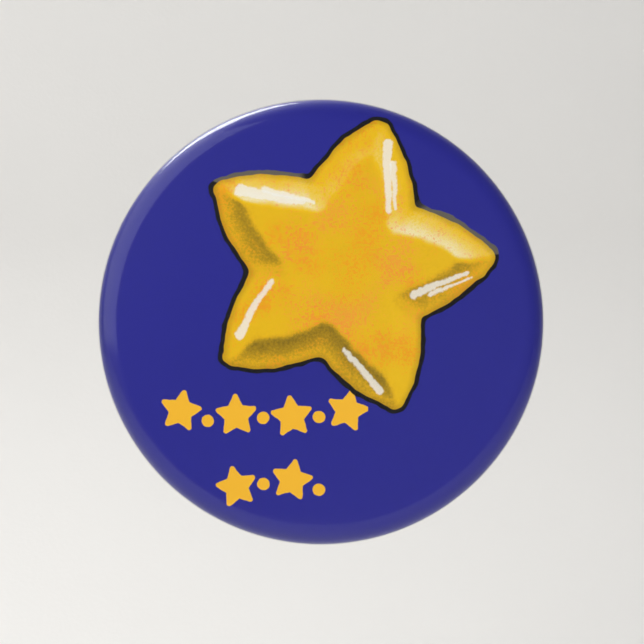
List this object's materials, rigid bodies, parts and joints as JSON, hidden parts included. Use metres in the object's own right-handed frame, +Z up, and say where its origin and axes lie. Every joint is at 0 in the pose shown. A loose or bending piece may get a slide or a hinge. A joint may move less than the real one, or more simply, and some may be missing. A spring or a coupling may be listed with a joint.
{
  "type": "button badge",
  "caption": "Round domed pin-back button badge: printed face under clear film, rolled rim, recessed tinplate back with a strapped safety pin that opens.",
  "frame": {"origin": "centre of the rolled rim's back plane, where the badge lies against the garment", "axes": "+Z up as worn, the printed face looks along -Y, +Y points out of the back into the garment, +X is the viewer's right seen from the front"},
  "size_m": [0.0572, 0.0097, 0.0572],
  "materials": {
    "film": "clear gloss polyester film",
    "print": "printed paper, deep blue ground with a yellow star",
    "tinplate": "bright rolled tinplate",
    "spring_wire": "nickel-plated drawn spring wire",
    "cap_steel": "nickel-plated pressed steel"
  },
  "bodies": {
    "badge": {"clear_film": "film", "printed_disc": "print", "front_shell": "tinplate", "back_plate": "tinplate", "pin_base_wire": "spring_wire", "pin_cap": "cap_steel"},
    "needle": {"pin_needle": "spring_wire"}
  },
  "joints": [
    {"name": "needle_hinge", "type": "hinge", "parent": "badge", "child": "needle", "pos_m": [0.0155, -0.00063, 0.004], "axis": [0, 0.9063, -0.4226], "range_deg": [0, 50]}
  ]
}
